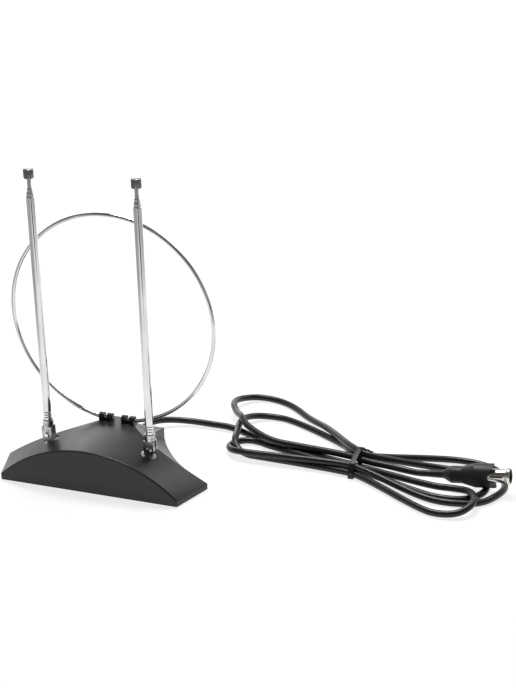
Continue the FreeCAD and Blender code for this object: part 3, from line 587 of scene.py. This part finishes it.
def finish_group(name, stretch):
    """Patches of colour and gloss over a fine grain; the grain can be drawn out along Z."""
    group, start, end, place = new_group(name, FINISH_INPUTS, FINISH_OUTPUTS)
    cloud = add_noise(group, place, start.outputs["Patch Scale"], PATCH_DETAIL)
    patch = add_range(group, cloud, PATCH_RANGE, interpolation="LINEAR")
    drawn = group.nodes.new("ShaderNodeMapping")
    drawn.inputs["Scale"].default_value = (1, 1, stretch)
    group.links.new(place, drawn.inputs["Vector"])
    grain = add_noise(group, drawn.outputs["Vector"], start.outputs["Grain Scale"], GRAIN_DETAIL)
    colour = add_mix(group, patch, start.outputs["Colour"], start.outputs["Other Colour"], "RGBA")
    rough = add_mix(group, patch, start.outputs["Gloss"], start.outputs["Dull"], "FLOAT")
    group.links.new(colour, end.inputs["Colour"])
    group.links.new(rough, end.inputs["Roughness"])
    group.links.new(grain, end.inputs["Height"])
    return group


moulded_skin = finish_group("moulded_skin", EVEN_GRAIN)
plated_skin = finish_group("plated_skin", DRAWN_GRAIN)
print("shared effects:", [group.name for group in bpy.data.node_groups])

# %% [markdown]
# Each finish is a Principled shader fed by one of the effects. Edges on a real moulding or pressing are
# never quite sharp, and a Bevel node softens how they take the light without a change to the mesh.
# The tubes inside each rod, the feet, the clevises and the caps are duller than the outer chrome.

# %% A finish from an effect
EDGE_SAMPLES = 6


def finish(name, group, metal, edge, bump, colours, gloss, scales):
    """A material from a shared effect; colours, gloss and scales are its two ends or two sizes."""
    made = bpy.data.materials.new(name)
    made.use_nodes = True
    tree = made.node_tree
    shader = tree.nodes["Principled BSDF"]
    shader.inputs["Metallic"].default_value = metal
    effect = tree.nodes.new("ShaderNodeGroup")
    effect.node_tree = group
    settings = dict(zip(("Colour", "Other Colour"), ((*colour, 1) for colour in colours)))
    settings.update(zip(("Gloss", "Dull", "Patch Scale", "Grain Scale"), (*gloss, *scales)))
    for socket, value in settings.items():
        effect.inputs[socket].default_value = value
    soft_edge = tree.nodes.new("ShaderNodeBevel")
    soft_edge.samples = EDGE_SAMPLES
    soft_edge.inputs["Radius"].default_value = edge * MM
    grain = tree.nodes.new("ShaderNodeBump")
    grain.inputs["Distance"].default_value = bump * MM
    tree.links.new(effect.outputs["Height"], grain.inputs["Height"])
    tree.links.new(soft_edge.outputs["Normal"], grain.inputs["Normal"])
    tree.links.new(grain.outputs["Normal"], shader.inputs["Normal"])
    tree.links.new(effect.outputs["Colour"], shader.inputs["Base Color"])
    tree.links.new(effect.outputs["Roughness"], shader.inputs["Roughness"])
    return made


print("samples for a soft edge:", EDGE_SAMPLES)

# %% Materials
SOFT_EDGE, HOUSING_EDGE = 0.15, 0.7
# Each finish: the depth of its grain, its two colours, its roughness from gloss to dull, and the scales
# of its patches and its grain.
MOULDED = {
    "black_plastic": (0.03, ((0.012, 0.012, 0.014), (0.016, 0.016, 0.018)), (0.3, 0.36), (40, 2600)),
    "cable_black": (0.02, ((0.019, 0.018, 0.020), (0.025, 0.024, 0.026)), (0.28, 0.38), (80, 1800)),
    "plug_black": (0.03, ((0.016, 0.017, 0.018), (0.021, 0.022, 0.023)), (0.42, 0.52), (90, 2200)),
    "tie_black": (0.02, ((0.010, 0.014, 0.012), (0.014, 0.019, 0.017)), (0.34, 0.44), (120, 1500)),
    "insulator": (0.02, ((0.03, 0.03, 0.03), (0.045, 0.045, 0.045)), (0.5, 0.6), (150, 2000)),
    "pad_rubber": (0.05, ((0.02, 0.02, 0.02), (0.035, 0.034, 0.033)), (0.75, 0.9), (200, 1500)),
    "board": (0.02, ((0.30, 0.17, 0.07), (0.22, 0.12, 0.05)), (0.45, 0.6), (120, 1500)),
    "ferrite": (0.05, ((0.05, 0.05, 0.053), (0.08, 0.08, 0.083)), (0.5, 0.65), (300, 2000)),
}
PLATED = {
    "chrome": (0.002, ((0.78, 0.79, 0.80), (0.70, 0.71, 0.72)), (0.05, 0.09), (60, 900)),
    "inner_chrome": (0.002, ((0.70, 0.71, 0.72), (0.48, 0.48, 0.49)), (0.06, 0.12), (450, 900)),
    "hinge_steel": (0.004, ((0.55, 0.55, 0.56), (0.32, 0.32, 0.33)), (0.38, 0.5), (260, 900)),
    "clevis_steel": (0.004, ((0.66, 0.65, 0.64), (0.30, 0.29, 0.29)), (0.16, 0.3), (420, 900)),
    "tip_steel": (0.01, ((0.38, 0.38, 0.39), (0.24, 0.24, 0.25)), (0.22, 0.36), (300, 1500)),
    "nickel": (0.003, ((0.78, 0.76, 0.72), (0.66, 0.63, 0.58)), (0.14, 0.24), (150, 1200)),
    "zinc_steel": (0.01, ((0.62, 0.62, 0.60), (0.45, 0.46, 0.47)), (0.3, 0.45), (160, 800)),
    "contact_brass": (0.004, ((0.72, 0.56, 0.28), (0.55, 0.40, 0.18)), (0.2, 0.32), (200, 1000)),
}
finishes = {}
for name, values in MOULDED.items():
    edge = HOUSING_EDGE if name == "black_plastic" else SOFT_EDGE
    finishes[name] = finish(name, moulded_skin, 0, edge, *values)
for name, values in PLATED.items():
    finishes[name] = finish(name, plated_skin, 1, SOFT_EDGE, *values)
print("materials:", len(finishes))

# %% Who wears what
OWN_FINISH = {"swivel_foot": "hinge_steel", "clevis": "clevis_steel", "tip_cap": "tip_steel"}
OWN_FINISH.update({f"rod_section_{number}": "inner_chrome" for number in (2, 3, 4)})
for part in frame["record"]["subparts"]:
    name = part["node"]
    kind = name.removesuffix("_left").removesuffix("_right")
    nodes[name].data.materials.clear()
    nodes[name].data.materials.append(finishes[OWN_FINISH.get(kind, part["material_slot"])])
cable.data.materials.append(finishes["cable_black"])
relief.data.materials.append(finishes["cable_black"])
tie.data.materials.clear()
tie.data.materials.append(finishes["tie_black"])
for piece in (cap, other_cap):
    piece.data.materials.append(finishes["tip_steel"])
sleeve.data.materials.append(finishes["nickel"])
sleeve.data.materials.append(finishes["insulator"])
# The mouth's inner metal takes the dark insulator finish as painted shade, and the pressed seam takes it as a
# dark joint.
for index in mouth_shade_and_seam_faces:
    sleeve.data.polygons[index].material_index = 1

# %% [markdown]
# The aerial stands on a white sheet in a white corner of a dim room. Chrome has no colour of its own: the
# dark lines along the rods are the edges of that sheet, mirrored. So for mirrors and for bounced light the
# sheet is white behind and darkens in front and at the sides, while the eye sees plain white from any side.
# The sheet takes soft shadows and adds white of its own, more of it far out, so that no horizon shows.

# %% Floor
FLOOR_SIZE = 12
bpy.ops.object.select_all(action="DESELECT")
bpy.ops.mesh.primitive_plane_add(size=FLOOR_SIZE)
floor = bpy.context.object
floor.name = "floor"
floor_white = bpy.data.materials.new("floor_white")
floor_white.use_nodes = True
tree = floor_white.node_tree
tree.nodes.remove(tree.nodes["Principled BSDF"])
floor.data.materials.append(floor_white)
print("floor:", FLOOR_SIZE, "m wide")

# %% Floor, where mirrors see it white


def add_math(tree, operation, first, second):
    """A sum, product or the like of two sockets, or of a socket and a number."""
    node = tree.nodes.new("ShaderNodeMath")
    node.operation = operation
    for socket, value in zip(node.inputs, (first, second)):
        if isinstance(value, float):
            socket.default_value = value
        else:
            tree.links.new(value, socket)
    return node.outputs["Value"]


def room_axes(tree, coordinates):
    """Coordinates turned to the camera: to the right, away from it, and up."""
    place = tree.nodes.new("ShaderNodeTexCoord")
    turned = tree.nodes.new("ShaderNodeMapping")
    turned.inputs["Rotation"].default_value = (0, 0, -AZIMUTH)
    tree.links.new(place.outputs[coordinates], turned.inputs["Vector"])
    axes = tree.nodes.new("ShaderNodeSeparateXYZ")
    tree.links.new(turned.outputs["Vector"], axes.inputs["Vector"])
    return axes.outputs


SHEET_FRONT = (-0.75, -0.36)
SHEET_LEFT, SHEET_RIGHT = (-0.34, -0.1), (0.5, 0.27)
SHEET_SPREAD = 0.15
SIDE_SHADE = 0.4
FRONT_SHADE = 0.3
# The sheet's two sides run apart towards the back, and it fades at both of them and in front.
rightward, away, _ = room_axes(tree, "Object")
spread = add_math(tree, "MULTIPLY", away, SHEET_SPREAD)
left_side = add_range(tree, add_math(tree, "ADD", rightward, spread), SHEET_LEFT, (SIDE_SHADE, 1.0))
right_side = add_range(tree, add_math(tree, "SUBTRACT", rightward, spread), SHEET_RIGHT, (SIDE_SHADE, 1.0))
sides = add_math(tree, "MULTIPLY", left_side, right_side)
front = add_range(tree, away, SHEET_FRONT, (FRONT_SHADE, 1.0))
edges = add_math(tree, "MULTIPLY", front, sides)
# A patch in front and to the right is dark.
PATCH_FRONT = (-0.2, -0.45)
PATCH_LEFT, PATCH_RIGHT = (0.0, 0.12), (0.32, 0.2)
patch_left = add_range(tree, rightward, PATCH_LEFT)
patch_right = add_range(tree, rightward, PATCH_RIGHT)
strip = add_math(tree, "MULTIPLY", patch_left, patch_right)
patch = add_math(tree, "MULTIPLY", strip, add_range(tree, away, PATCH_FRONT))
white = add_math(tree, "MULTIPLY", edges, add_range(tree, patch, (0.0, 1.0), (1.0, 0.0)))
print("nodes in the sheet's mask:", len(tree.nodes))

# %% Floor, paper and its own white
SHEET_WHITE, SHEET_DARK = 0.35, 0.08
SHEET_GLOW = 0.79
SHEET_FAR = (0.3, 0.9)


def camera_ray(tree):
    """1 for rays that leave the camera, 0 for all others."""
    return tree.nodes.new("ShaderNodeLightPath").outputs["Is Camera Ray"]


def seen_ray(tree):
    """1 for rays that are seen straight or in a mirror, 0 for the ones that only light things."""
    rays = tree.nodes.new("ShaderNodeLightPath")
    total = rays.outputs["Is Camera Ray"]
    for kind in ("Is Glossy Ray", "Is Transmission Ray"):
        total = add_math(tree, "ADD", total, rays.outputs[kind])
    return total


white = add_math(tree, "MAXIMUM", white, camera_ray(tree))
paper = add_range(tree, white, (0.0, 1.0), (SHEET_DARK, SHEET_WHITE))
sheet = tree.nodes.new("ShaderNodeBsdfDiffuse")
tree.links.new(paper, sheet.inputs["Color"])
place = tree.nodes.new("ShaderNodeTexCoord")
distance = tree.nodes.new("ShaderNodeVectorMath")
distance.operation = "LENGTH"
tree.links.new(place.outputs["Object"], distance.inputs[0])
own_white = add_range(tree, distance.outputs["Value"], SHEET_FAR, (SHEET_GLOW, 1.0))
lit = add_math(tree, "MULTIPLY", add_math(tree, "MULTIPLY", white, own_white), seen_ray(tree))
glow = tree.nodes.new("ShaderNodeEmission")
tree.links.new(lit, glow.inputs["Strength"])
both = tree.nodes.new("ShaderNodeAddShader")
tree.links.new(sheet.outputs["BSDF"], both.inputs[0])
tree.links.new(glow.outputs["Emission"], both.inputs[1])
tree.links.new(both.outputs["Shader"], tree.nodes["Material Output"].inputs["Surface"])
print("nodes in the floor's finish:", len(tree.nodes))

# %% [markdown]
# The room is one white Background, dimmer in front and overhead for mirrors and for soft light, and plain
# white for the eye. Three soft lamps do the rest: one overhead for the shadow under the base, one at the
# side for the right flank, and a low one behind, which the glossy roof mirrors like a window.

# %% Room
ROOM_LIGHT = 0.5
ROOM_DIM = 0.3
ROOM_BACK = (-0.1, 0.5)
ROOM_TOP = (0.1, 0.6)
CEILING = 0.3
world = bpy.data.worlds.new("studio")
scene.world = world
world.use_nodes = True
tree = world.node_tree
room = tree.nodes["Background"]
_, away, upward = room_axes(tree, "Generated")
wall = add_range(tree, away, ROOM_BACK, (ROOM_DIM, 1.0))
shade = add_math(tree, "MULTIPLY", wall, add_range(tree, upward, ROOM_TOP, (1.0, CEILING)))
level = add_range(tree, seen_ray(tree), (0.0, 1.0), (ROOM_LIGHT, 1.0))
strength = add_math(tree, "MAXIMUM", add_math(tree, "MULTIPLY", shade, level), camera_ray(tree))
tree.links.new(strength, room.inputs["Strength"])
room.inputs["Color"].default_value = (1, 1, 1, 1)
print("nodes in the room:", len(tree.nodes))

# %% Lamps


def add_lamp(name, bearing, height, distance, size, power):
    """A soft square lamp aimed at the base: degrees right of straight behind, degrees up, and metres off."""
    turn, rise = math.radians(bearing) - AZIMUTH, math.radians(height)
    along_floor = math.cos(rise)
    place = Vector((math.sin(turn) * along_floor, math.cos(turn) * along_floor, math.sin(rise))) * distance
    lamp_data = bpy.data.lights.new(name, "AREA")
    lamp_data.size = size
    lamp_data.energy = power
    lamp = bpy.data.objects.new(name, lamp_data)
    lamp.location = place
    lamp.rotation_euler = (-place).to_track_quat("-Z", "Y").to_euler()
    scene.collection.objects.link(lamp)


add_lamp("overhead", bearing=0, height=70, distance=1.5, size=0.5, power=14)
add_lamp("side", bearing=55, height=45, distance=1.3, size=0.6, power=2.5)
add_lamp("window", bearing=-6, height=17, distance=1.2, size=0.4, power=1.1)
print("lamps:", len(bpy.data.lights))
